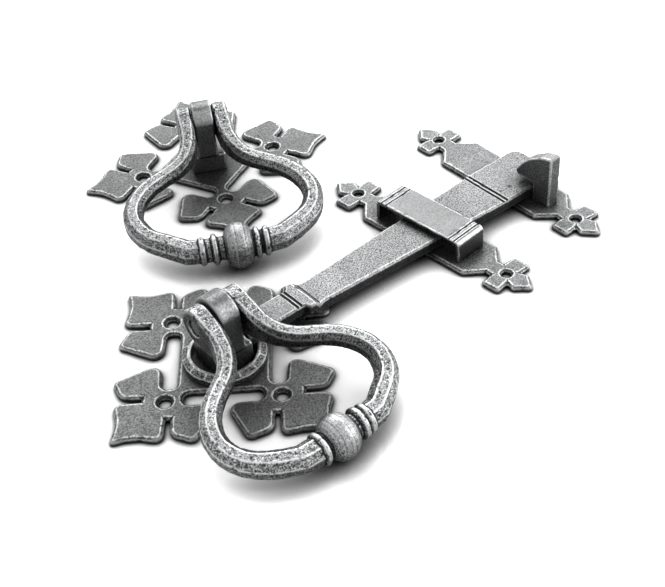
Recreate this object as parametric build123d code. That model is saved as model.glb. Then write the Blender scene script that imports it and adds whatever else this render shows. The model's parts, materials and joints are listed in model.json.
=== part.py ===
from build123d import *
import math
import os

# Suffolk latch laid flat: two ring handles on pierced roses, latch bar, staple and catch.
# Millimetres. X runs along the latch bar, Y is up the door, Z comes out of the door.
# Z = 0 is the back of every plate; the origin is on the turning axis of the inner handle.

# Where each plate or handle lies: centre in X and Y, and its turn about Z in degrees
inner_place = (0, 0, 0)
outer_place = (74.7, 113.9, -28.2)
staple_place = (112.6, 1.7, -85.2)
catch_place = (164.7, 6.7, -90.0)
rose_turn_under_handle = -38.4

# Running clearances
shaft_clearance = 0.05
pin_clearance = 0.05
press_clearance = 0.02
tenon_clearance = 0.05
face_clearance = 0.1
rest_gap = 0.1
back_clearance = 0.1

# Plates
plate_thickness = 2.5
bevel_run = 1.25
bevel_drop = 0.9

# Rose: each corner of an eighth of the outline is (x, y, corner radius)
rose_slot_inner = (18.4, 15.5, 2.5)
rose_slot_outer = (24.1, 15.5, 2.4)
rose_petal_root = (24.75, 0.45, 4.0)
rose_petal_point = (44.2, 9.9, 3.0)
rose_petal_heel = (39.9, 19.7, 4.6)
rose_slit_lower = (31.7, 19.8, 0)
rose_slit_upper = (31.7, 21.6, 0)
rose_lobe_heel = (43.0, 22.0, 3.1)
rose_lobe_waist = (40.3, 33.3, 20.0)
rose_lobe_tip = (42.7, 42.7, 1.4)
rose_hole_offset = 22.5
rose_hole_radius = 2.3
rose_hole_rim_radius = 3.8

# Plates of the staple and the catch: corners of a quarter of the outline
small_shoulder = (28.8, 11.8, 1.4)
small_neck_inner = (35.6, 4.6, 0)
small_neck_outer = (37.9, 4.6, 0)
small_petal_inner = (38.3, 11.0, 1.5)
small_petal_outer = (47.6, 11.0, 1.5)
small_notch = (47.1, 4.5, 0)
small_tip_heel = (50.6, 5.8, 0)
small_tip_waist = (53.6, 3.1, 9.0)
small_tip = (57.2, 0.0, 1.4)
small_hole_offset = 43.0
small_hole_radius = 2.05
small_hole_rim_radius = 3.1

# Post: base block, round-topped shank and journal
block_half_x = 8.3
block_half_y = 9.0
block_top = 11.8
block_edge = 0.8
shank_half_x = 4.5
shank_half_y = 9.2
shank_top_radius = 9.8
shank_edge = 0.5
pin_height = 24.8
journal_radius = 8.0
peened_foot_radius = 9.8
peened_foot_height = 0.6
spindle_socket_side = 8.2
spindle_socket_top = 12.0

# Washer in its recess at the back of a rose
washer_radius = 11.5
washer_thickness = 0.75
recess_depth = 1.6

# Collar of the inner rose
collar_radius = 17.0
collar_bore_radius = 13.2
collar_wall_top = 4.9
collar_bevel_top_radius = 14.2
collar_top = 6.5
collar_facets = 14

# Ring pin
pin_radius = 3.5
pin_recess = 1.0
pin_edge = 0.4

# Eyes of both rings
eye_inner_x = 4.8
eye_outer_x = 12.0
eye_radius = 8.0
eye_edge = 1.0
eye_middle_x = (eye_inner_x + eye_outer_x) / 2
eye_thickness = eye_outer_x - eye_inner_x

# Inner ring: reach from pin to knop, half-widths of its arms, and how far the knop sits off the middle
inner_reach = 69.9
inner_left_half_width = 36.7
inner_right_half_width = 36.7
inner_knop_offset = 1.2
inner_ball_radius = 9.3
inner_left_beads = [(8.8, 6.7)]
inner_right_beads = [(9.3, 6.8), (12.7, 6.3)]

# Outer ring: larger, and more uneven
outer_reach = 78.6
outer_left_half_width = 41.1
outer_right_half_width = 38.0
outer_knop_offset = 3.5
outer_ball_radius = 10.1
outer_left_beads = [(10.3, 6.9), (15.8, 6.2)]
outer_right_beads = [(7.9, 6.9), (11.9, 6.6)]

# Knop: a bead is (distance from the middle of the ball, radius); all beads have the same widths
ball_half_width = 6.2
cove_radius = 5.2
bead_half_width = 1.6
bead_crown_half_width = 0.7
arm_end_size = (10.6, 10.6, 3.1)

# Shape of an arm: (share of the way out, share of the way down, width out of the ring plane,
# thickness in it, corner cut)
arm_shape = [
    (0.0, 0.0, 2 * eye_radius, eye_thickness, eye_edge),
    (0.007, 0.1, 14.5, 7.2, 1.2),
    (0.033, 0.2, 12.0, 7.2, 1.7),
    (0.14, 0.302, 9.4, 7.5, 2.0),
    (0.317, 0.374, 8.1, 7.8, 2.2),
    (0.55, 0.43, 8.0, 8.0, 2.3),
    (0.793, 0.507, 8.4, 8.4, 2.4),
    (0.953, 0.606, 8.7, 8.7, 2.5),
    (1.0, 0.698, 8.9, 8.9, 2.6),
    (0.953, 0.787, 9.3, 9.3, 2.7),
    (0.807, 0.874, 9.7, 9.7, 2.85),
    (0.56, 0.945, 10.2, 10.2, 3.0),
]
sections_per_span = 2

# Latch bar: half-widths seen from the front, levels seen from the side; a face counts as a front
# face when its normal points out of the door by more than front_facing
bar_bottom = 4.3
bar_top = 9.4
neck_bottom = 6.8
neck_half_width = 6.5
neck_end_x = 36.2
neck_round = 0.5
shoulder_start_x = 37.4
shoulder_end_x = 42.1
shoulder_half_width = 8.8
shoulder_round = 1.5
joggle_start_x = 40.5
joggle_end_x = 43.2
joggle_lead_below = 1.0
root_x = 45.5
root_half_width = 7.6
root_round = 2.0
blade_x = 146.0
blade_half_width = 12.8
tip_x = 178.0
tip_half_width = 13.0
tip_round = 5.0
bar_edge = 0.8
tenon_length = 2.8
tenon_half_width = 4.5
tenon_bottom = 7.7
tenon_top = 10.7
neck_groove_x = (33.3, 35.1)
blade_groove_x = (144.6, 146.6)
groove_width = 1.0
groove_depth = 0.6
front_facing = 0.5

# Staple bridge: strap bent over the latch bar
bridge_half_span = 23.9
bridge_half_width = 8.3
bridge_top = 12.7
bridge_thickness = 1.9
bridge_round = 2.6
bridge_groove_offsets = (17.9, 20.6)
bridge_edge = 0.35
bridge_tenon_half_width = 5.0
bridge_tenon_thickness = 1.7

# Catch hook: distances down the door from the plate centre, heights above the plate, radii of its corners
hook_half_thickness = 3.25
hook_edge = 0.5
hook_height = 25.4
hook_outer = 29.7
hook_top_round = 1.2
hook_brow = 24.0
hook_brow_drop = 1.2
hook_brow_round = 16.0
hook_cheek = 14.4
hook_cheek_drop = 6.8
hook_cheek_round = 18.0
hook_nose = 9.3
hook_nose_rise = 1.9
hook_nose_round = 1.6
hook_chin = 10.6
hook_chin_drop = 0.6
hook_chin_round = 1.2
hook_arch = 13.5
hook_arch_round = 4.0
hook_underside = 9.0
hook_stem_inner = 19.9
hook_stem_drop = 0.2
hook_stem_round = 1.4
hook_tenon_inner = 21.5
hook_tenon_outer = 28.0
hook_tenon_half_thickness = 2.0


def rounded_outline(corners):
    """Flat face inside straight edges, each (x, y, radius) corner turned by an arc of its radius."""
    edges = []
    arc_starts = []
    arc_ends = []
    for here, (x, y, radius) in enumerate(corners):
        corner = Vector(x, y)
        back = (Vector(*corners[here - 1][:2]) - corner).normalized()
        ahead = (Vector(*corners[(here + 1) % len(corners)][:2]) - corner).normalized()
        half_angle = math.radians(back.get_angle(ahead)) / 2
        run = radius / math.tan(half_angle)
        middle = corner + (back + ahead).normalized() * (radius / math.sin(half_angle) - radius)
        arc_starts.append(corner + back * run)
        arc_ends.append(corner + ahead * run)
        if radius > 0:
            edges.append(ThreePointArc(arc_starts[-1], middle, arc_ends[-1]))
    for here, start in enumerate(arc_starts):
        edges.append(Line(arc_ends[here - 1], start))
    return make_face(edges)


def swapped(corners):
    """The same corners in reverse order, mirrored in the diagonal."""
    return [(y, x, radius) for x, y, radius in reversed(corners)]


def turned(corners, quarters):
    """Corners turned about the centre by a number of quarter turns."""
    for _ in range(quarters):
        corners = [(-y, x, radius) for x, y, radius in corners]
    return corners


def box_below(length, width, top, bottom):
    """Box centred on the Z axis between two levels."""
    return Pos(0, 0, top) * Box(length, width, top - bottom, align=(Align.CENTER, Align.CENTER, Align.MAX))


def disc(radius, bottom, top):
    """Cylinder on the Z axis between two levels."""
    return Pos(0, 0, bottom) * Cylinder(radius, top - bottom, align=(Align.CENTER, Align.CENTER, Align.MIN))


def bevelled_plate(corners):
    """Plate with a sloped edge all round its front face."""
    plate = extrude(rounded_outline(corners), plate_thickness)
    front = plate.faces().sort_by(Axis.Z)[-1]
    return chamfer(front.edges(), bevel_run, bevel_drop, reference=front)


def screw_hole(radius, rim_radius):
    """Countersunk through hole for a wood screw, at the front face of a plate."""
    sink_depth = rim_radius - radius
    shaft = Cylinder(radius, 3 * plate_thickness)
    sink = Cone(radius, rim_radius, sink_depth, align=(Align.CENTER, Align.CENTER, Align.MAX))
    return shaft + Pos(0, 0, plate_thickness) * sink


def groove(length, width, depth):
    """V-shaped cutter lying along Y, sunk to its depth below Z = 0."""
    half = width / 2
    corners = [(-half, 0), (0, -depth), (half, 0), (half, depth), (-half, depth)]
    section = Plane.XZ * Polygon(*corners, align=None)
    return extrude(section, length / 2, both=True)


def rose():
    """Pierced plate: four flowers round a square, parted from it by four slots."""
    eighth = [
        rose_slot_inner,
        rose_slot_outer,
        rose_petal_root,
        rose_petal_point,
        rose_petal_heel,
        rose_slit_lower,
        rose_slit_upper,
        rose_lobe_heel,
        rose_lobe_waist,
    ]
    quarter = eighth + [rose_lobe_tip] + swapped(eighth)
    corners = [corner for quarters in range(4) for corner in turned(quarter, quarters)]
    plate = bevelled_plate(corners)
    hole = screw_hole(rose_hole_radius, rose_hole_rim_radius)
    for x in (-rose_hole_offset, rose_hole_offset):
        for y in (-rose_hole_offset, rose_hole_offset):
            plate -= Pos(x, y, 0) * hole
    plate -= Cylinder(journal_radius + shaft_clearance, 3 * plate_thickness)
    plate -= Cylinder(washer_radius + shaft_clearance, 2 * recess_depth)
    return plate


def small_plate():
    """Narrow plate with a flower at each end, symmetric both ways."""
    quarter = [
        small_shoulder,
        small_neck_inner,
        small_neck_outer,
        small_petal_inner,
        small_petal_outer,
        small_notch,
        small_tip_heel,
        small_tip_waist,
    ]
    flower = [(x, -y, radius) for x, y, radius in quarter] + [small_tip] + quarter[::-1]
    corners = flower + turned(flower, 2)
    plate = bevelled_plate(corners)
    hole = screw_hole(small_hole_radius, small_hole_rim_radius)
    for x in (-small_hole_offset, small_hole_offset):
        plate -= Pos(x, 0, 0) * hole
    return plate


def collar():
    """Ring seated on the rose, its top edge cut back in flat facets."""
    facet_slope = (collar_radius - collar_bevel_top_radius) / (collar_top - collar_wall_top)
    base_radius = collar_radius + facet_slope * (collar_wall_top - plate_thickness)
    lower = Pos(0, 0, plate_thickness) * RegularPolygon(base_radius, collar_facets, major_radius=False)
    upper = Pos(0, 0, collar_top) * RegularPolygon(collar_bevel_top_radius, collar_facets, major_radius=False)
    wall = disc(collar_radius, plate_thickness, collar_top)
    return (wall & loft([lower, upper])) - Cylinder(collar_bore_radius, 4 * collar_top)


def post(with_mortise):
    """Base block and round-topped shank on a journal that is peened over behind the rose."""
    block_bottom = plate_thickness + face_clearance
    block = box_below(2 * block_half_x, 2 * block_half_y, block_top, block_bottom)
    block = chamfer(block.edges().filter_by(Axis.Z), block_edge)
    block = chamfer(block.faces().sort_by(Axis.Z)[-1].edges(), block_edge)
    crown = Pos(0, 0, pin_height) * Rot(0, 90, 0) * Cylinder(shank_top_radius, 2 * shank_half_x)
    crown_top = pin_height + shank_top_radius
    crown_bottom = pin_height - shank_top_radius
    shank = crown & box_below(2 * shank_half_x, 2 * shank_half_y, crown_top, crown_bottom)
    shank += box_below(2 * shank_half_x, 2 * shank_half_y, pin_height, block_top - block_edge)
    flanks = shank.faces().filter_by(Axis.X)
    crown_edges = [edge for face in flanks for edge in face.edges() if edge.center().Z > block_top]
    shank = chamfer(crown_edges, shank_edge)
    journal = disc(journal_radius, back_clearance, block_top - block_edge)
    foot = disc(peened_foot_radius, back_clearance, back_clearance + peened_foot_height)
    socket = Box(spindle_socket_side, spindle_socket_side, 2 * spindle_socket_top)
    bore = Cylinder(pin_radius + press_clearance, 4 * shank_half_x)
    pin_bore = Pos(0, 0, pin_height) * Rot(0, 90, 0) * bore
    solid = block + shank + journal + foot - socket - pin_bore
    if with_mortise:
        solid -= tenon(tenon_clearance)
    return solid


def tenon(clearance):
    """Tenon at the inner end of the latch bar, or with a clearance the mortise for it."""
    length = tenon_length + clearance
    height = tenon_top - tenon_bottom + 2 * clearance
    middle_height = (tenon_top + tenon_bottom) / 2
    return Pos(block_half_x, 0, middle_height) * Box(
        length, 2 * (tenon_half_width + clearance), height, align=(Align.MAX, Align.CENTER, Align.CENTER)
    )


def washer():
    """Flat washer between the recess of the rose and the peened foot of the post."""
    bottom = back_clearance + peened_foot_height
    bore = Cylinder(journal_radius + shaft_clearance, 4 * recess_depth)
    return disc(washer_radius, bottom, bottom + washer_thickness) - bore


def ring_pin():
    """Pin through both eyes and the shank, its ends sunk below the faces of the eyes."""
    length = 2 * (eye_outer_x - pin_recess)
    pin = chamfer(Cylinder(pin_radius, length).edges().filter_by(GeomType.CIRCLE), pin_edge)
    return Pos(0, 0, pin_height) * Rot(0, 90, 0) * pin


def arm_section(path, along, size):
    """Eight-sided section across an arm at a place along its centreline."""
    width, thickness, cut = size
    tangent = path.tangent_at(along)
    across = Vector(0, 0, 1).cross(tangent)
    plane = Plane(origin=path.position_at(along), x_dir=across, z_dir=tangent)
    half_t = thickness / 2
    half_w = width / 2
    corners = [
        (half_t, half_w - cut),
        (half_t - cut, half_w),
        (cut - half_t, half_w),
        (-half_t, half_w - cut),
        (-half_t, cut - half_w),
        (cut - half_t, -half_w),
        (half_t - cut, -half_w),
        (half_t, cut - half_w),
    ]
    return plane * Polygon(*corners, align=None)


def ring_arm(reach, half_width, lean, end_x):
    """Right arm of a ring: a flattened eye running into an eight-sided bar that ends in the knop."""
    spread = half_width - eye_middle_x
    points = [(eye_middle_x + out * spread + lean * down, -down * reach) for out, down, *_ in arm_shape]
    points.append((end_x, -reach))
    sizes = [size for _, _, *size in arm_shape] + [arm_end_size]
    path = Spline(*points, tangents=[(0, -1), (-1, 0)])
    marks = [path.param_at_point((x, y, 0)) for x, y in points]
    sections = []
    for span in range(len(marks) - 1):
        for step in range(sections_per_span):
            share = step / sections_per_span
            along = marks[span] + share * (marks[span + 1] - marks[span])
            size = [near + share * (far - near) for near, far in zip(sizes[span], sizes[span + 1])]
            sections.append(arm_section(path, along, size))
    sections.append(arm_section(path, marks[-1], sizes[-1]))
    eye = Pos(eye_middle_x, 0, 0) * Rot(0, 90, 0) * Cylinder(eye_radius, eye_thickness)
    eye = chamfer(eye.edges().filter_by(GeomType.CIRCLE), eye_edge)
    return loft(sections, ruled=True) + eye


def half_knop(ball_radius, beads):
    """Right half of a turned knop on the X axis: half a squashed ball, a cove, then beads."""
    bulge = (ball_radius - cove_radius) / ball_half_width
    arc_radius = ball_half_width * (1 + bulge**2) / (2 * bulge)
    middle_x = ball_half_width / 2
    middle_drop = arc_radius - math.sqrt(arc_radius**2 - middle_x**2)
    profile = [(ball_half_width, cove_radius)]
    for x, radius in beads:
        profile.append((x - bead_half_width, cove_radius))
        profile.append((x - bead_crown_half_width, radius))
        profile.append((x + bead_crown_half_width, radius))
        profile.append((x + bead_half_width, cove_radius))
    profile += [(profile[-1][0], 0), (0, 0), (0, ball_radius)]
    edges = [ThreePointArc((0, ball_radius), (middle_x, ball_radius - middle_drop), profile[0])]
    edges += [Line(start, end) for start, end in zip(profile, profile[1:])]
    return revolve(make_face(edges), Axis.X)


def half_ring(reach, half_width, knop_offset, ball_radius, beads):
    """Right half of a ring, cut at the middle of its knop."""
    arm = ring_arm(reach, half_width, knop_offset, knop_offset + beads[-1][0])
    return arm + Pos(knop_offset, -reach, 0) * half_knop(ball_radius, beads)


def ring(reach, half_widths, knop_offset, ball_radius, left_beads, right_beads):
    """Ring handle in one piece, hung on its pin and drooping until the knop rests on the door."""
    left_width, right_width = half_widths
    left = half_ring(reach, left_width, -knop_offset, ball_radius, left_beads)
    right = half_ring(reach, right_width, knop_offset, ball_radius, right_beads)
    whole = right + mirror(left, Plane.YZ)
    whole -= Rot(0, 90, 0) * Cylinder(pin_radius + pin_clearance, 4 * eye_outer_x)
    droop = math.degrees(math.asin((pin_height - ball_radius - rest_gap) / reach))
    return Pos(0, 0, pin_height) * Rot(droop, 0, 0) * whole


def inner_ring():
    """Ring of the inner handle."""
    half_widths = (inner_left_half_width, inner_right_half_width)
    return ring(
        inner_reach, half_widths, inner_knop_offset, inner_ball_radius, inner_left_beads, inner_right_beads
    )


def outer_ring():
    """Ring of the outer handle."""
    half_widths = (outer_left_half_width, outer_right_half_width)
    return ring(
        outer_reach, half_widths, outer_knop_offset, outer_ball_radius, outer_left_beads, outer_right_beads
    )


def latch_bar():
    """Bar with a raised neck, round shoulders and a joggle down to a long widening blade."""
    half = [
        (block_half_x, neck_half_width, 0),
        (neck_end_x, neck_half_width, neck_round),
        (shoulder_start_x, shoulder_half_width, shoulder_round),
        (shoulder_end_x, shoulder_half_width, shoulder_round),
        (root_x, root_half_width, root_round),
        (blade_x, blade_half_width, 0),
        (tip_x, tip_half_width, tip_round),
    ]
    corners = half + [(x, -y, radius) for x, y, radius in reversed(half)]
    front = extrude(rounded_outline(corners), 2 * block_top)
    side = Plane.XZ * Polygon(
        (block_half_x, neck_bottom),
        (joggle_start_x - joggle_lead_below, neck_bottom),
        (joggle_end_x - joggle_lead_below, bar_bottom),
        (tip_x, bar_bottom),
        (tip_x, bar_top),
        (joggle_end_x, bar_top),
        (joggle_start_x, block_top),
        (block_half_x, block_top),
        align=None,
    )
    bar = front & extrude(side, 2 * tip_half_width, both=True)
    top_faces = [face for face in bar.faces() if face.normal_at().Z > front_facing]
    edges = [edge for face in top_faces for edge in face.edges() if edge.center().X > block_half_x + bar_edge]
    rims = [edge for edge in edges if abs(edge.center().Y) > bar_edge or edge.center().X > tip_x - bar_edge]
    bar = chamfer(rims, bar_edge)
    for x in neck_groove_x:
        bar -= Pos(x, 0, block_top) * groove(4 * shoulder_half_width, groove_width, groove_depth)
    for x in blade_groove_x:
        bar -= Pos(x, 0, bar_top) * groove(4 * tip_half_width, groove_width, groove_depth)
    return bar + tenon(0)


def staple_bridge():
    """Strap bent over the latch bar, square legs let into the plate by tenons."""
    inner_span = bridge_half_span - bridge_thickness
    inner_top = bridge_top - bridge_thickness
    inner_round = bridge_round - bridge_thickness
    outer = rounded_outline([
        (-bridge_half_span, plate_thickness, 0),
        (bridge_half_span, plate_thickness, 0),
        (bridge_half_span, bridge_top, bridge_round),
        (-bridge_half_span, bridge_top, bridge_round),
    ])
    inner = rounded_outline([
        (-inner_span, 0, 0),
        (inner_span, 0, 0),
        (inner_span, inner_top, inner_round),
        (-inner_span, inner_top, inner_round),
    ])
    strap = extrude(Plane.XZ * (outer - inner), bridge_half_width, both=True)
    outer_edges = [
        edge
        for face in strap.faces().filter_by(Axis.Y)
        for edge in face.edges()
        if edge.center().Z > bridge_top - bridge_edge
    ]
    strap = chamfer(outer_edges, bridge_edge)
    cutter = groove(4 * bridge_half_width, groove_width, groove_depth)
    for offset in bridge_groove_offsets:
        for side in (-1, 1):
            strap -= Pos(side * offset, 0, bridge_top) * cutter
    return strap + bridge_tenons(0)


def bridge_tenons(clearance):
    """Tenons below both legs of the strap, or with a clearance the slots for them."""
    bottom = -plate_thickness if clearance else back_clearance
    thickness = bridge_tenon_thickness + 2 * clearance
    blank = box_below(thickness, 2 * (bridge_tenon_half_width + clearance), plate_thickness, bottom)
    leg_middle = bridge_half_span - bridge_thickness / 2
    return Pos(-leg_middle, 0, 0) * blank + Pos(leg_middle, 0, 0) * blank


def hook_tenon(clearance):
    """Tenon below the stem of the hook, or with a clearance the slot for it."""
    bottom = -plate_thickness if clearance else back_clearance
    length = hook_tenon_outer - hook_tenon_inner + 2 * clearance
    blank = box_below(length, 2 * (hook_tenon_half_thickness + clearance), plate_thickness, bottom)
    return Pos((hook_tenon_inner + hook_tenon_outer) / 2, 0, 0) * blank


def catch_hook():
    """Hook whose nose rises to a bowed back, cut from flat bar and tenoned into the plate."""
    top = plate_thickness + hook_height
    underside = plate_thickness + hook_underside
    side = rounded_outline([
        (hook_outer, plate_thickness, 0),
        (hook_outer, top, hook_top_round),
        (hook_brow, top - hook_brow_drop, hook_brow_round),
        (hook_cheek, top - hook_cheek_drop, hook_cheek_round),
        (hook_nose, underside + hook_nose_rise, hook_nose_round),
        (hook_chin, underside - hook_chin_drop, hook_chin_round),
        (hook_arch, underside, hook_arch_round),
        (hook_stem_inner, underside - hook_stem_drop, hook_stem_round),
        (hook_stem_inner, plate_thickness, 0),
    ])
    hook = extrude(Plane.XZ * side, hook_half_thickness, both=True)
    rims = []
    for face in hook.faces().filter_by(Axis.Y):
        for edge in face.edges():
            middle = edge.center()
            if middle.Z > underside or middle.X > hook_outer - hook_edge:
                rims.append(edge)
    hook = chamfer(rims, hook_edge)
    return hook + hook_tenon(0)


def placed(place, solid):
    """Set a solid down on the door at a centre with a turn about Z."""
    x, y, turn = place
    return Pos(x, y, 0) * Rot(0, 0, turn) * solid


def build():
    """All the pieces by name, each where it lies."""
    turned_rose = Rot(0, 0, rose_turn_under_handle) * rose()
    return {
        "inner_rose": placed(inner_place, turned_rose),
        "inner_collar": placed(inner_place, collar()),
        "inner_post": placed(inner_place, post(True)),
        "inner_washer": placed(inner_place, washer()),
        "inner_ring": placed(inner_place, inner_ring()),
        "inner_ring_pin": placed(inner_place, ring_pin()),
        "latch_bar": placed(inner_place, latch_bar()),
        "outer_rose": placed(outer_place, turned_rose),
        "outer_post": placed(outer_place, post(False)),
        "outer_washer": placed(outer_place, washer()),
        "outer_ring": placed(outer_place, outer_ring()),
        "outer_ring_pin": placed(outer_place, ring_pin()),
        "staple_plate": placed(staple_place, small_plate() - bridge_tenons(tenon_clearance)),
        "staple_bridge": placed(staple_place, staple_bridge()),
        "catch_plate": placed(catch_place, small_plate() - hook_tenon(tenon_clearance)),
        "catch_hook": placed(catch_place, catch_hook()),
    }


os.makedirs("parts", exist_ok=True)
for name, solid in build().items():
    export_step(solid, "parts/" + name + ".step")
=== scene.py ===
import json
import math

import bmesh
import bpy
import numpy as np
from mathutils import Matrix, Vector
from mathutils.kdtree import KDTree


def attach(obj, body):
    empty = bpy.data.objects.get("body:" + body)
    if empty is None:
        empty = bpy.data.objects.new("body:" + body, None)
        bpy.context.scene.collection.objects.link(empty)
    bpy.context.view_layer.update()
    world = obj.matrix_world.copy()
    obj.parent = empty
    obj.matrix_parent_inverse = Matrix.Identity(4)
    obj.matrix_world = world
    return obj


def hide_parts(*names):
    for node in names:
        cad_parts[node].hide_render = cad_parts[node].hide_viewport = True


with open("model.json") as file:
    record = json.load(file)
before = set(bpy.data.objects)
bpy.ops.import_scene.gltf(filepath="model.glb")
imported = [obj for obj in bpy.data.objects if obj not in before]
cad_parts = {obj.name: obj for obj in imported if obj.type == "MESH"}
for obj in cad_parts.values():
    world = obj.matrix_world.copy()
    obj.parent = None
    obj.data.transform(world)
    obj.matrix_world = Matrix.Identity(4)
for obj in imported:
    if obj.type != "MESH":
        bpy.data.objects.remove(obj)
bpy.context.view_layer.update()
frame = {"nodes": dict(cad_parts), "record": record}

MM = 0.001
WHITE = (1, 1, 1, 1)

# Camera, worked out from the plates: place in metres, direction in the row frame, roll in radians,
# lens and sensor in millimetres, and nearest and farthest distance in metres
CAMERA_PLACE = (-0.1867, -0.3149, 0.3463)
CAMERA_FORWARD = Vector((0.4609, 0.5989, -0.6549))
CAMERA_ROLL = -0.073
CAMERA_LENS = 68.54
SENSOR_WIDTH = 36.0
CAMERA_NEAR = 0.01
CAMERA_FAR = 20

# Floor: side and middle in metres, colour, and how brightly its open part shows to the camera and in
# the iron
FLOOR_SIZE = 6
FLOOR_PLACE = (0.08, 0.06, -0.0002)
FLOOR_TONE = 0.9
FLOOR_LIFT = 1.8
GLOSS_LIFT = 0.2

# Shade of what stands near: how far it reaches in metres and how steeply it falls off, for the floor
# round the pieces, for the narrow gaps under and between them, and for the recesses of the iron
FLOOR_REACH = 0.06
FLOOR_POWER = 3.0
CREVICE_REACH = 0.009
CREVICE_POWER = 1.8
RECESS_REACH = 0.035
RECESS_POWER = 1.0
OPENNESS_SAMPLES = 8

# World: direction that it glows from, limits of the glow round that direction, and its strength as
# light and as mirrored in the iron, each from the dim side to the glowing side
GLOW_FROM = (0.43, 0.56, 0.707)
GLOW_LIMITS = (-0.2, 0.9)
LIT_STRENGTHS = (0.05, 0.32)
MIRRORED_STRENGTHS = (0.75, 0.95)

# Soft boxes: place and size in metres, power in watts, and the spot that they point at
SOFT_BOXES = {
    "back_box": dict(place=(0.66, 0.80, 0.74), size=(1.1, 0.8), power=9.5),
    "right_box": dict(place=(0.80, -0.50, 0.50), size=(0.8, 0.8), power=5.0),
}
BOX_TARGET = (0.08, 0.05, 0)

# Sharp edges of the solids: least angle of a sunk edge in degrees, and in millimetres the spacing of
# marks along an edge, how close two corners are one, and the farthest distance that counts
SUNK_ANGLE = 35
CREASE_STEP = 0.2
SAME_CORNER = 0.001
FARTHEST_EDGE = 3.0

# Lattice of the noise: shift that keeps its places positive, and least radius and spread of the radii
# of the pits, as shares of the lattice's step
LATTICE_SHIFT = 1000.0
PIT_RADIUS = 0.25
PIT_RADIUS_SPREAD = 0.4

# Values of the lattice points: odd multipliers for the axes, the seed and two rounds of mixing, and
# the bits that are kept
AXIS_MIX = (73856093, 19349663, 83492791)
SEED_MIX = 2654435761
ROUND_MIX = (0x45D9F3B, 0x2C1B3C6D)
KEPT_BITS = 0xFFFFFFFF

# Hammered surface: size and depth of the second waves as shares of the first, sizes of dents and grain
# in millimetres, share of the dents' depth away from edges, width of the dented edges in millimetres,
# and the share of the surface that is sunk
SECOND_WAVE_SIZE = 0.45
SECOND_WAVE_DEPTH = 0.5
DENT_SIZE = 2.6
GRAIN_SIZE = 1.1
DENT_AWAY_SHARE = 0.25
DENTED_EDGE = 1.3
SUNK_SHARE = 0.75

# Smoothing: how far a vertex moves towards its neighbours, and how often before its wear is measured
SMOOTH_STRENGTH = 0.6
WEAR_ROUNDS = 5

# Seeds: step from piece to piece, and what is added for each noise after the first
PIECE_SEED = 100
SECOND_WAVE_SEED = 11
DENT_SEED = 21
GRAIN_SEED = 31
PIT_SEED = 41

# Rings, in millimetres and degrees: middle and turn about Z of the pin, how far the knop lies to the
# side and out from it, and how dull the whole ring is
RINGS = {
    "inner_ring": dict(x=0, y=0, turn=0, knop_offset=1.2, knop_reach=68.2, dull_and_shade=0.0),
    "outer_ring": dict(x=74.7, y=113.9, turn=-28.2, knop_offset=3.5, knop_reach=77.2, dull_and_shade=0.35),
}

# Parts of a ring, in millimetres: height of the pin, radius of the eyes and the band in which they
# end, middle of the opening from the pin, and half length and radius of the knop
PIN_HEIGHT = 24.8
EYE_END = 15.0
EYE_FADE = 5.0
RING_MIDDLE = -45.0
KNOP_HALF_LENGTH = 6.2
KNOP_RADIUS = 10

# Share of a part: where it starts or ends, and over how much it fades, for the side that faces the
# opening, the flanks of the eyes and the knop
INNER_FROM = 0.35
INNER_FADE = 0.4
FLANK_FROM = 0.6
FLANK_FADE = 0.3
KNOP_END = 1.15
KNOP_FADE = 0.3

# Noises of the iron: detail and roughness, after the scale per metre where all looks share it, or per
# millimetre for the strokes and the turned lines
SPECKLE_NOISE = (2, 0.6)
MOTTLE_NOISE = (4, 0.65)
CLOUD_NOISE = (60, 3, 0.5)
STROKE_NOISE = (1.6, 2, 0.6)
TURNED_NOISE = (1.0, 2, 0.6)

# Tones of the iron: limits between which each effect comes in, and what it goes from and to
SLOPE_LIMITS = (0.3, 0.6)
FLAT_LIMITS = (0.86, 0.95)
CLOUD_LIMITS = (0.3, 0.7)
CLOUD_TONES = (0.88, 1.12)
BLOTCH_LIMITS = (0.4, 0.6)
BLOTCH_SWING = (-1.0, 1.0)
SPECK_LIMITS = (0.36, 0.58)
SPECK_LIFT = 0.6
STROKE_LIMITS = (0.35, 0.65)
STROKE_SWING = (-1.0, 0.8)
STROKE_SQUEEZE = 0.12
TURNED_LIMITS = (0.35, 0.6)
TURNED_TONES = (0.15, 1.25)
TURNED_SHARE = 0.5
WEAR_LIMITS = (0.2, 1.0)
PIT_SOOT = 0.9
RECESS_LIMITS = (0.5, 0.98)
FADING = (1.0, 0.0)
RED_SHARE = 0.985
BLUE_SHARE = 1.01

# Gloss of the iron: limits and swing of its roughness, what wear takes off it, and height in metres
# of the finest relief with the share of the specks in it
ROUGH_LIMITS = (0.3, 0.7)
ROUGH_SWING = 0.07
WORN_GLOSS = 0.1
RELIEF_HEIGHT = 0.0002
SPECK_HEIGHT = 0.5

# Materials made so far, by name, so that pieces of one look share one
materials = {}


def maths(tree, operation, first, second):
    """Output of a new maths node fed by sockets or numbers."""
    node = tree.nodes.new("ShaderNodeMath")
    node.operation = operation
    for slot, value in enumerate((first, second)):
        if isinstance(value, (int, float)):
            node.inputs[slot].default_value = value
        else:
            tree.links.new(value, node.inputs[slot])
    return node.outputs[0]


def blend(tree, share, first, second):
    """Mix of two numbers or sockets."""
    node = tree.nodes.new("ShaderNodeMix")
    node.data_type = "FLOAT"
    for socket, value in ((0, share), (2, first), (3, second)):
        if isinstance(value, (int, float)):
            node.inputs[socket].default_value = value
        else:
            tree.links.new(value, node.inputs[socket])
    return node.outputs[0]


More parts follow.
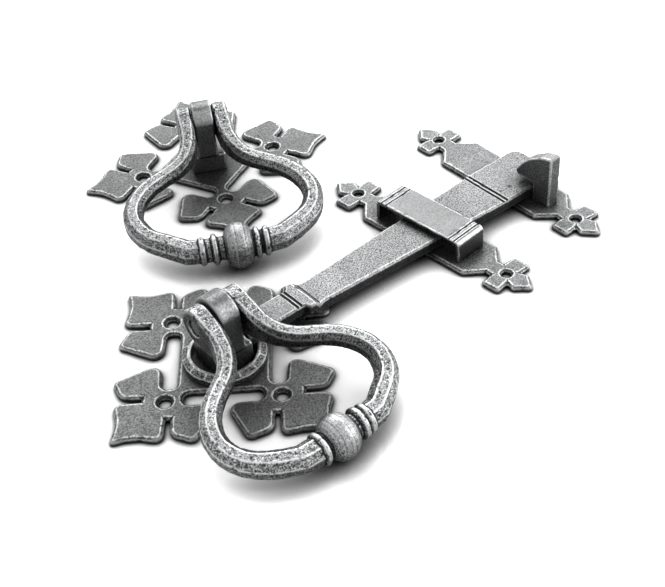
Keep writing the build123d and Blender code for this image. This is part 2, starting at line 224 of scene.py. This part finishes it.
def stepped(tree, value, limits, results=(0.0, 1.0)):
    """Smooth change of a value between two limits, from the first result to the second."""
    node = tree.nodes.new("ShaderNodeMapRange")
    node.interpolation_type = "SMOOTHSTEP"
    tree.links.new(value, node.inputs["Value"])
    for socket, number in zip(("From Min", "From Max", "To Min", "To Max"), (*limits, *results)):
        node.inputs[socket].default_value = number
    return node.outputs[0]


def attribute(tree, name):
    """Output of a number kept at the vertices."""
    node = tree.nodes.new("ShaderNodeAttribute")
    node.attribute_name = name
    return node.outputs["Fac"]


def noise(tree, place, scale, detail, roughness):
    """Noise from 0 to 1 at a place."""
    node = tree.nodes.new("ShaderNodeTexNoise")
    node.inputs["Scale"].default_value = scale
    node.inputs["Detail"].default_value = detail
    node.inputs["Roughness"].default_value = roughness
    tree.links.new(place, node.inputs["Vector"])
    return node.outputs["Fac"]


def openness(tree, reach, power):
    """1 where nothing stands within reach above the surface, falling to 0 in narrow gaps."""
    node = tree.nodes.new("ShaderNodeAmbientOcclusion")
    node.inputs["Distance"].default_value = reach
    node.samples = OPENNESS_SAMPLES
    return maths(tree, "POWER", node.outputs["AO"], power)


def make_camera():
    """Camera at the photograph's angle, with its small roll."""
    forward = CAMERA_FORWARD.normalized()
    level_right = forward.cross(Vector((0, 0, 1))).normalized()
    level_up = level_right.cross(forward).normalized()
    right = math.cos(CAMERA_ROLL) * level_right + math.sin(CAMERA_ROLL) * level_up
    up = -math.sin(CAMERA_ROLL) * level_right + math.cos(CAMERA_ROLL) * level_up
    data = bpy.data.cameras.new("camera")
    data.lens = CAMERA_LENS
    data.sensor_width = SENSOR_WIDTH
    data.clip_start = CAMERA_NEAR
    data.clip_end = CAMERA_FAR
    camera = bpy.data.objects.new("camera", data)
    bpy.context.scene.collection.objects.link(camera)
    camera.matrix_world = Matrix((
        (right.x, up.x, -forward.x, CAMERA_PLACE[0]),
        (right.y, up.y, -forward.y, CAMERA_PLACE[1]),
        (right.z, up.z, -forward.z, CAMERA_PLACE[2]),
        (0, 0, 0, 1),
    ))
    bpy.context.scene.camera = camera


def make_floor():
    """Pale floor that keeps the shadows and shows as white where nothing stands near it; near the pieces
    and in narrow gaps its colour and glow carry painted shade.
    """
    bpy.ops.mesh.primitive_plane_add(size=FLOOR_SIZE, location=FLOOR_PLACE)
    floor = bpy.context.object
    floor.name = "floor"
    material = bpy.data.materials.new("floor")
    material.use_nodes = True
    tree = material.node_tree
    shader = tree.nodes["Principled BSDF"]
    shader.inputs["Roughness"].default_value = 1.0
    shader.inputs["Specular IOR Level"].default_value = 0.0
    shader.inputs["Emission Color"].default_value = WHITE
    light_path = tree.nodes.new("ShaderNodeLightPath")
    seen = maths(tree, "MULTIPLY", light_path.outputs["Is Camera Ray"], FLOOR_LIFT)
    mirrored = maths(tree, "MULTIPLY", light_path.outputs["Is Glossy Ray"], GLOSS_LIFT)
    glow = maths(tree, "ADD", seen, mirrored)
    # Painted shade: near the pieces and in narrow gaps the floor's glow fades and its colour darkens
    gap = openness(tree, CREVICE_REACH, CREVICE_POWER)
    lift = maths(tree, "MULTIPLY", openness(tree, FLOOR_REACH, FLOOR_POWER), gap)
    tree.links.new(maths(tree, "MULTIPLY", lift, glow), shader.inputs["Emission Strength"])
    tone = maths(tree, "MULTIPLY", gap, FLOOR_TONE)
    colour = tree.nodes.new("ShaderNodeCombineColor")
    for socket in colour.inputs:
        tree.links.new(tone, socket)
    tree.links.new(colour.outputs[0], shader.inputs["Base Color"])
    floor.data.materials.append(material)


def area_light(name, place, size, power):
    """Soft box at a place, pointed at the pieces."""
    data = bpy.data.lights.new(name, "AREA")
    data.shape = "RECTANGLE"
    data.size, data.size_y = size
    data.energy = power
    light = bpy.data.objects.new(name, data)
    light.location = place
    aim = Vector(BOX_TARGET) - Vector(place)
    light.rotation_mode = "QUATERNION"
    light.rotation_quaternion = aim.to_track_quat("-Z", "Y")
    bpy.context.scene.collection.objects.link(light)


def make_light():
    """World that glows above and behind, is dim in front and shows white, and two soft boxes."""
    world = bpy.data.worlds.new("studio")
    bpy.context.scene.world = world
    world.use_nodes = True
    tree = world.node_tree
    share = tree.nodes.new("ShaderNodeVectorMath")
    share.operation = "DOT_PRODUCT"
    tree.links.new(tree.nodes.new("ShaderNodeTexCoord").outputs["Generated"], share.inputs[0])
    share.inputs[1].default_value = GLOW_FROM
    lit = stepped(tree, share.outputs["Value"], GLOW_LIMITS, LIT_STRENGTHS)
    mirrored = stepped(tree, share.outputs["Value"], GLOW_LIMITS, MIRRORED_STRENGTHS)
    light_path = tree.nodes.new("ShaderNodeLightPath")
    background = tree.nodes["Background"]
    background.inputs["Color"].default_value = WHITE
    strength = blend(tree, light_path.outputs["Is Glossy Ray"], lit, mirrored)
    strength = maths(tree, "MAXIMUM", strength, light_path.outputs["Is Camera Ray"])
    tree.links.new(strength, background.inputs["Strength"])
    for name, box in SOFT_BOXES.items():
        area_light(name, **box)


def scrambled(ix, iy, iz, seed):
    """Whole numbers of lattice points turned into evenly spread values from 0 to 1."""
    h = ix.astype(np.uint64) * np.uint64(AXIS_MIX[0])
    h ^= iy.astype(np.uint64) * np.uint64(AXIS_MIX[1])
    h ^= iz.astype(np.uint64) * np.uint64(AXIS_MIX[2])
    h ^= np.uint64(seed * SEED_MIX % (KEPT_BITS + 1))
    h &= np.uint64(KEPT_BITS)
    h = (h ^ (h >> np.uint64(16))) * np.uint64(ROUND_MIX[0]) & np.uint64(KEPT_BITS)
    h = (h ^ (h >> np.uint64(15))) * np.uint64(ROUND_MIX[1]) & np.uint64(KEPT_BITS)
    h ^= h >> np.uint64(16)
    return h.astype(np.float64) / KEPT_BITS


def soft_noise(points, size, seed):
    """Smooth noise from -1 to 1 whose lumps are about one size across."""
    q = points / size + LATTICE_SHIFT
    base = np.floor(q)
    f = q - base
    u = f * f * (3 - 2 * f)
    base = base.astype(np.int64)
    total = np.zeros(len(points))
    for dx in (0, 1):
        for dy in (0, 1):
            for dz in (0, 1):
                weight = u[:, 0] if dx else 1 - u[:, 0]
                weight = weight * (u[:, 1] if dy else 1 - u[:, 1])
                weight = weight * (u[:, 2] if dz else 1 - u[:, 2])
                total += weight * scrambled(base[:, 0] + dx, base[:, 1] + dy, base[:, 2] + dz, seed)
    return total * 2 - 1


def pit_depth(points, size, share, seed):
    """Round pits about one size apart, of mixed width: 1 in the middle of a pit, 0 outside."""
    q = points / size + LATTICE_SHIFT
    base = np.floor(q).astype(np.int64)
    depth = np.zeros(len(points))
    for dx in (-1, 0, 1):
        for dy in (-1, 0, 1):
            for dz in (-1, 0, 1):
                cx, cy, cz = base[:, 0] + dx, base[:, 1] + dy, base[:, 2] + dz
                place = np.stack([
                    cx + scrambled(cx, cy, cz, seed),
                    cy + scrambled(cx, cy, cz, seed + 1),
                    cz + scrambled(cx, cy, cz, seed + 2),
                ], axis=1)
                radius = PIT_RADIUS + PIT_RADIUS_SPREAD * scrambled(cx, cy, cz, seed + 3)
                there = scrambled(cx, cy, cz, seed + 4) < share
                gap = np.linalg.norm(q - place, axis=1) / radius
                depth = np.maximum(depth, np.where(there, np.clip(1 - gap * gap, 0, 1), 0))
    return depth


def smoothed(values, edges, times):
    """Values at the vertices, each time drawn towards the mean of their neighbours."""
    count = len(values)
    degree = np.bincount(edges[:, 0], minlength=count) + np.bincount(edges[:, 1], minlength=count)
    degree = np.maximum(degree, 1)
    values = values.copy()
    for _ in range(times):
        for axis in range(values.shape[1]):
            column = values[:, axis]
            total = np.bincount(edges[:, 0], weights=column[edges[:, 1]], minlength=count)
            total += np.bincount(edges[:, 1], weights=column[edges[:, 0]], minlength=count)
            values[:, axis] = column + SMOOTH_STRENGTH * (total / degree - column)
    return values


def mesh_arrays(mesh):
    """Vertices and edges of a mesh as arrays."""
    points = np.empty(len(mesh.vertices) * 3)
    mesh.vertices.foreach_get("co", points)
    edges = np.empty(len(mesh.edges) * 2, dtype=np.int32)
    mesh.edges.foreach_get("vertices", edges)
    return points.reshape(-1, 3), edges.reshape(-1, 2)


def normals_of(mesh):
    """Vertex normals of a mesh as an array."""
    normals = np.empty(len(mesh.vertices) * 3)
    mesh.vertex_normals.foreach_get("vector", normals)
    return normals.reshape(-1, 3)


def place_vertices(mesh, points):
    """Move the vertices of a mesh to new points."""
    mesh.vertices.foreach_set("co", points.ravel())
    mesh.update()


def store(mesh, name, values):
    """Keep a number per vertex where the material can read it."""
    layer = mesh.attributes.new(name, "FLOAT", "POINT")
    layer.data.foreach_set("value", values.astype(np.float32))


def remeshed(name, node, voxel):
    """Even mesh over the shape of a solid, in the row frame, in millimetres."""
    source = node.data.copy()
    source.transform(node.matrix_world)
    source.transform(Matrix.Scale(1 / MM, 4))
    rough = bpy.data.objects.new(name + "_rough", source)
    bpy.context.scene.collection.objects.link(rough)
    modifier = rough.modifiers.new("even", "REMESH")
    modifier.mode = "VOXEL"
    modifier.voxel_size = voxel
    modifier.adaptivity = 0.0
    depsgraph = bpy.context.evaluated_depsgraph_get()
    mesh = bpy.data.meshes.new_from_object(rough.evaluated_get(depsgraph), depsgraph=depsgraph)
    bpy.data.objects.remove(rough)
    mesh.name = name
    return mesh


def creases(node, least_angle, least_rise, sunk_lift):
    """Points along the sharp edges of a solid, in millimetres: proud edges, then sunk ones."""
    mesh = bmesh.new()
    mesh.from_mesh(node.data)
    mesh.transform(Matrix.Scale(1 / MM, 4) @ node.matrix_world)
    bmesh.ops.remove_doubles(mesh, verts=mesh.verts, dist=SAME_CORNER)
    mesh.normal_update()
    proud = []
    sunk = []
    for edge in mesh.edges:
        if len(edge.link_faces) != 2:
            continue
        angle = math.degrees(edge.calc_face_angle_signed(0))
        if angle < -SUNK_ANGLE:
            line = sunk
        elif angle > least_angle and max(face.normal.z for face in edge.link_faces) > least_rise:
            line = proud
        else:
            continue
        start, end = (vert.co.copy() for vert in edge.verts)
        if line is sunk:
            start.z += sunk_lift
            end.z += sunk_lift
        steps = int((end - start).length / CREASE_STEP) + 1
        line.extend(start.lerp(end, step / steps) for step in range(steps + 1))
    mesh.free()
    return proud, sunk


def distances(points, marks):
    """Distance of each point to the nearest mark, up to the farthest that counts."""
    if not marks:
        return np.full(len(points), FARTHEST_EDGE)
    tree = KDTree(len(marks))
    for index, mark in enumerate(marks):
        tree.insert(mark, index)
    tree.balance()
    nearest = np.array([tree.find(point)[2] for point in points.tolist()])
    return np.minimum(nearest, FARTHEST_EDGE)


def ring_parts(ring, points, normals):
    """Shares of the dull sides, darkened as painted shade on the side facing the opening and on the
    eyes' flanks, of the eyes and the knop of a ring, and places round and along its pin.
    """
    turn = math.radians(ring["turn"])
    dx = (points[:, 0] - ring["x"]) * math.cos(turn) + (points[:, 1] - ring["y"]) * math.sin(turn)
    dy = (points[:, 1] - ring["y"]) * math.cos(turn) - (points[:, 0] - ring["x"]) * math.sin(turn)
    dz = points[:, 2] - PIN_HEIGHT
    nx = normals[:, 0] * math.cos(turn) + normals[:, 1] * math.sin(turn)
    ny = normals[:, 1] * math.cos(turn) - normals[:, 0] * math.sin(turn)
    eye = np.clip((EYE_END - np.hypot(dy, dz)) / EYE_FADE, 0, 1)
    away = dy - RING_MIDDLE
    inward = -(nx * dx + ny * away) / np.maximum(np.hypot(dx, away), 1.0)
    # Painted shade: the side facing the opening and the flanks of the eyes are marked for a darker tone
    inner = np.clip((inward - INNER_FROM) / INNER_FADE, 0, 1) * (1 - eye)
    flank = np.clip((np.abs(nx) - FLANK_FROM) / FLANK_FADE, 0, 1) * eye
    along_knop = (dx - ring["knop_offset"]) / KNOP_HALF_LENGTH
    out_of_knop = (dy + ring["knop_reach"]) / KNOP_RADIUS
    return {
        "dull_and_shade": np.maximum(np.maximum(inner, flank), ring["dull_and_shade"]),
        "eye": eye,
        "around": np.arctan2(dz, -dy) * EYE_END,
        "across": dx,
        "knop": np.clip((KNOP_END - np.hypot(along_knop, out_of_knop)) / KNOP_FADE, 0, 1),
    }


def hammered(points, look, ridge, seed):
    """Sinking of each vertex by waves, dents and grain; the highest quarter stays on the solid."""
    second_size = look["wave_size"] * SECOND_WAVE_SIZE
    wave = soft_noise(points, look["wave_size"], seed) * look["wave"]
    second = soft_noise(points, second_size, seed + SECOND_WAVE_SEED) * look["wave"]
    wave = wave + second * SECOND_WAVE_DEPTH
    near_ridge = np.clip(DENTED_EDGE - ridge, 0, 1)
    dent_share = DENT_AWAY_SHARE + (1 - DENT_AWAY_SHARE) * near_ridge
    dents = soft_noise(points, DENT_SIZE, seed + DENT_SEED) * look["dent"] * dent_share
    grain = soft_noise(points, GRAIN_SIZE, seed + GRAIN_SEED) * look["grain"]
    rise = wave + dents + grain
    return np.minimum(rise - np.quantile(rise, SUNK_SHARE), 0)


def bare_tone(tree, look, place, speckle, mottle):
    """Tone of the iron by how far it faces up, which is painted light and shade, with clouds, blotches
    and specks.
    """
    cloud = noise(tree, place, *CLOUD_NOISE)
    front = attribute(tree, "front")
    # Painted light and shade: faces that look up, slope or stand get their own tones
    slope = stepped(tree, front, SLOPE_LIMITS, (look["side"], look["slope"]))
    flat = stepped(tree, front, FLAT_LIMITS)
    tone = blend(tree, flat, slope, look["flat"])
    tone = maths(tree, "MULTIPLY", tone, stepped(tree, cloud, CLOUD_LIMITS, CLOUD_TONES))
    swing = blend(tree, flat, look["slope_mottle"], look["mottle"])
    blotch = maths(tree, "MULTIPLY", stepped(tree, mottle, BLOTCH_LIMITS, BLOTCH_SWING), swing)
    tone = maths(tree, "MULTIPLY", tone, maths(tree, "ADD", blotch, 1.0))
    speck_tones = (1 - look["speckle"], 1 + SPECK_LIFT * look["speckle"])
    return maths(tree, "MULTIPLY", tone, stepped(tree, speckle, SPECK_LIMITS, speck_tones))


def ring_marks(tree, look, tone):
    """Tone of a ring with strokes across its eyes and lines turned round its knop."""
    across = attribute(tree, "across")
    stroke = tree.nodes.new("ShaderNodeCombineXYZ")
    tree.links.new(maths(tree, "MULTIPLY", across, STROKE_SQUEEZE), stroke.inputs[0])
    tree.links.new(attribute(tree, "around"), stroke.inputs[1])
    lines = stepped(tree, noise(tree, stroke.outputs[0], *STROKE_NOISE), STROKE_LIMITS, STROKE_SWING)
    share = maths(tree, "MULTIPLY", attribute(tree, "eye"), look["strokes"])
    stripe = maths(tree, "MULTIPLY", lines, share)
    tone = maths(tree, "MULTIPLY", tone, maths(tree, "ADD", stripe, 1.0))
    along = tree.nodes.new("ShaderNodeCombineXYZ")
    tree.links.new(across, along.inputs[0])
    lines = stepped(tree, noise(tree, along.outputs[0], *TURNED_NOISE), TURNED_LIMITS, TURNED_TONES)
    turned = maths(tree, "MULTIPLY", lines, look["knop"])
    share = maths(tree, "MULTIPLY", attribute(tree, "knop"), TURNED_SHARE)
    return blend(tree, share, tone, turned)


def worn_share(tree, look, mottle, wear):
    """Share of bright metal: a ragged line along the proud edges, and the crests of the dents."""
    shift = maths(tree, "MULTIPLY", maths(tree, "SUBTRACT", mottle, 0.5), look["ragged"])
    ragged = maths(tree, "ADD", attribute(tree, "ridge"), shift)
    edge = stepped(tree, ragged, (look["edge_full"], look["edge_none"]), FADING)
    crest = maths(tree, "MULTIPLY", stepped(tree, wear, WEAR_LIMITS), look["crest"])
    return maths(tree, "MAXIMUM", edge, crest)


def sooty_share(tree, look, wear):
    """Share of dark soot: the hollows of the dents, the pits and the sunk edges."""
    hollow = stepped(tree, maths(tree, "MULTIPLY", wear, -1.0), WEAR_LIMITS)
    pit = maths(tree, "MULTIPLY", attribute(tree, "pit"), PIT_SOOT)
    corner = stepped(tree, attribute(tree, "valley"), (look["soot_full"], look["soot_none"]), FADING)
    return maths(tree, "MAXIMUM", maths(tree, "MAXIMUM", hollow, pit), corner)


def iron(look):
    """Dark forged iron, with painted light and shade by how far a face looks up, bright along its worn
    edges, and with painted shade where other things stand near.
    """
    name = look["name"]
    if name in materials:
        return materials[name]
    material = bpy.data.materials.new(name)
    material.use_nodes = True
    tree = material.node_tree
    shader = tree.nodes["Principled BSDF"]
    place = tree.nodes.new("ShaderNodeTexCoord").outputs["Object"]
    speckle = noise(tree, place, look["speckle_scale"], *SPECKLE_NOISE)
    mottle = noise(tree, place, look["mottle_scale"], *MOTTLE_NOISE)
    wear = attribute(tree, "wear")

    tone = bare_tone(tree, look, place, speckle, mottle)
    if look is RING:
        tone = ring_marks(tree, look, tone)
    worn = worn_share(tree, look, mottle, wear)
    tone = blend(tree, maths(tree, "MULTIPLY", worn, look["polish"]), tone, look["bright"])
    sooty = sooty_share(tree, look, wear)
    tone = blend(tree, maths(tree, "MULTIPLY", sooty, look["soot"]), tone, look["dark"])
    # Painted shade on the ring's inner side and eye flanks, together with the outer ring's even dullness
    if look is RING:
        dulled_and_shaded = maths(tree, "MULTIPLY", attribute(tree, "dull_and_shade"), look["dull_and_shade"])
        tone = maths(tree, "MULTIPLY", tone, maths(tree, "SUBTRACT", 1.0, dulled_and_shaded))
    # Painted shade: the tone darkens where other things stand within reach, in recesses and under parts
    recess = openness(tree, RECESS_REACH, RECESS_POWER)
    shade = stepped(tree, recess, RECESS_LIMITS, (look["recess"], 1.0))
    tone = maths(tree, "MULTIPLY", tone, shade)

    colour = tree.nodes.new("ShaderNodeCombineColor")
    tree.links.new(maths(tree, "MULTIPLY", tone, RED_SHARE), colour.inputs[0])
    tree.links.new(tone, colour.inputs[1])
    tree.links.new(maths(tree, "MULTIPLY", tone, BLUE_SHARE), colour.inputs[2])
    tree.links.new(colour.outputs[0], shader.inputs["Base Color"])
    shader.inputs["Metallic"].default_value = look["metallic"]
    rough_range = (look["rough"] + ROUGH_SWING, look["rough"] - ROUGH_SWING)
    rough = stepped(tree, mottle, ROUGH_LIMITS, rough_range)
    rough = maths(tree, "SUBTRACT", rough, maths(tree, "MULTIPLY", worn, WORN_GLOSS))
    tree.links.new(rough, shader.inputs["Roughness"])

    height = maths(tree, "ADD", maths(tree, "MULTIPLY", speckle, SPECK_HEIGHT), mottle)
    bump = tree.nodes.new("ShaderNodeBump")
    bump.inputs["Strength"].default_value = look["bump"]
    bump.inputs["Distance"].default_value = RELIEF_HEIGHT
    tree.links.new(height, bump.inputs["Height"])
    tree.links.new(bump.outputs[0], shader.inputs["Normal"])
    materials[name] = material
    return material


def forge(name, node, look, seed):
    """Hammered and worn copy of a solid that takes its place."""
    mesh = remeshed(name, node, look["voxel"])
    points, edges = mesh_arrays(mesh)
    points = smoothed(points, edges, look["soften"])
    place_vertices(mesh, points)
    normals = normals_of(mesh)
    proud, sunk = creases(node, look["crease_angle"], look["crease_rise"], look["sunk_lift"])
    ridge = distances(points, proud)
    valley = distances(points, sunk)

    pits = pit_depth(points, look["pit_size"], look["pit_share"], seed + PIT_SEED)
    if name in RINGS:
        parts = ring_parts(RINGS[name], points, normals)
        pits = pits * (1 - parts["knop"])
        for label, values in parts.items():
            store(mesh, label, values)
    sink = hammered(points, look, ridge, seed) - pits * look["pit"]
    sink = sink - np.clip(1 - valley / look["carve_width"], 0, 1) * look["carve"]
    points = points + normals * sink[:, None]
    place_vertices(mesh, points)

    fine = np.sum((points - smoothed(points, edges, WEAR_ROUNDS)) * normals, axis=1)
    store(mesh, "wear", np.clip(fine / look["wear_scale"], -1, 1))
    store(mesh, "ridge", ridge)
    store(mesh, "valley", valley)
    store(mesh, "pit", pits)
    # Painted light and shade: how far each vertex faces up, which sets its tone
    store(mesh, "front", np.clip(normals[:, 2], -1, 1))

    mesh.transform(Matrix.Scale(MM, 4))
    mesh.polygons.foreach_set("use_smooth", np.ones(len(mesh.polygons), dtype=bool))
    mesh.update()
    piece = bpy.data.objects.new(name + "_forged", mesh)
    bpy.context.scene.collection.objects.link(piece)
    mesh.materials.clear()
    mesh.materials.append(iron(look))
    return piece


# Looks of the pieces. Mesh: size of its cells and rounds of smoothing, least angle and least upward
# turn of a bright edge, and how far above a sunk edge its darkness lies. Relief in millimetres: depth
# and size of waves, dents, grain, pits and carved lines, and the depth that counts as full wear.
# Tones from 0 to 1: what a deep recess keeps under painted shade, faces that look up, slope or stand,
# which are painted light and shade by facing, bright and dark metal, and how strongly and how finely
# they vary; then where edges and soot begin and end, and the gloss.
# A ring also has the strength of its strokes and of its dull sides, which are painted shade on the side
# facing the opening and on the eyes' flanks, and the tone of its knop.
PLATE = dict(
    name="plate_iron", voxel=0.5, soften=1, crease_angle=25, crease_rise=0.2, sunk_lift=0.0,
    wave=0.06, wave_size=9.0, dent=0.3, grain=0.04, pit=0.0, pit_size=3.0, pit_share=0.0,
    carve=0.1, carve_width=0.5, wear_scale=0.10, recess=0.22,
    flat=0.18, slope=0.07, side=0.04, bright=0.95, dark=0.01,
    speckle=0.5, speckle_scale=1500, mottle=0.12, slope_mottle=0.9, mottle_scale=1200, ragged=2.0,
    edge_full=0.16, edge_none=0.45, crest=0.6, polish=0.9, soot=0.8, soot_full=0.3, soot_none=0.6,
    metallic=0.6, rough=0.55, bump=0.5,
)
SMALL = dict(PLATE, name="small_plate_iron", voxel=0.48, flat=0.24, slope=0.1)
RING = dict(
    PLATE, name="ring_iron", voxel=0.39, crease_rise=-2.0, wear_scale=0.08, recess=0.75,
    wave=0.14, wave_size=6.0, dent=0.12, grain=0.1, pit=0.16, pit_size=1.6, pit_share=0.4,
    flat=0.34, slope=0.34, side=0.3, bright=1.0,
    speckle=0.9, speckle_scale=1900, mottle=0.35, slope_mottle=0.6, mottle_scale=1400,
    crest=0.8, soot=0.95, metallic=0.85, rough=0.42, bump=0.8, strokes=0.6, dull_and_shade=0.75, knop=0.75,
)
# Painted highlight: the posts' slopes are lighter than their tops and sides
POST = dict(
    PLATE, name="post_iron", voxel=0.42, wave=0.08, wave_size=7.0, recess=0.8,
    flat=0.17, slope=0.45, side=0.2, bright=0.5, speckle=0.15, mottle=0.25, slope_mottle=0.25,
    polish=0.6, metallic=0.7, rough=0.36, bump=0.25,
)
COLLAR = dict(
    PLATE, name="collar_iron", voxel=0.33, crease_angle=10, wave=0.12, wave_size=4.0, dent=0.25,
    recess=0.75, flat=0.22, slope=0.2, side=0.14, mottle=0.5, ragged=2.6, edge_full=0.05,
)
BAR = dict(
    PLATE, name="bar_iron", voxel=0.42, sunk_lift=0.6, pit=0.1, pit_size=2.2, pit_share=0.04,
    carve=0.55, carve_width=0.7, flat=0.30, slope=0.2, side=0.1,
    speckle=0.8, speckle_scale=1800, slope_mottle=0.3, soot=0.98, soot_full=0.55, soot_none=0.75,
)
# Painted highlight: the bridge's sloping faces round its bends carry the lightest tone
BRIDGE = dict(
    BAR, name="bridge_iron", voxel=0.34, crease_rise=-0.1, sunk_lift=0.3, pit_share=0.0, carve=0.3,
    flat=0.2, slope=0.8, bright=0.9, speckle=0.2, mottle=0.1, slope_mottle=0.2,
    soot_full=0.3, soot_none=0.5, rough=0.38,
)
HOOK = dict(
    BAR, name="hook_iron", voxel=0.34, crease_rise=-0.1, sunk_lift=0.0, pit_share=0.0, carve=0.0,
    recess=0.6, flat=0.36, slope=0.28, side=0.17, bright=0.85, speckle=0.35,
)

LOOKS = {
    "inner_rose": PLATE, "outer_rose": PLATE, "staple_plate": SMALL, "catch_plate": SMALL,
    "inner_collar": COLLAR, "inner_post": POST, "outer_post": POST,
    "inner_ring": RING, "outer_ring": RING, "inner_ring_pin": POST, "outer_ring_pin": POST,
    "inner_washer": POST, "outer_washer": POST,
    "latch_bar": BAR, "staple_bridge": BRIDGE, "catch_hook": HOOK,
}

make_camera()
make_floor()
make_light()

record_bodies = frame["record"]["behaviour"]["bodies"]
body_of_node = {node: body for body, nodes in record_bodies.items() for node in nodes}
for number, (name, look) in enumerate(LOOKS.items(), start=1):
    piece = forge(name, frame["nodes"][name], look, PIECE_SEED * number)
    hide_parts(name)
    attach(piece, body_of_node[name])

bpy.context.scene.view_settings.view_transform = "Standard"
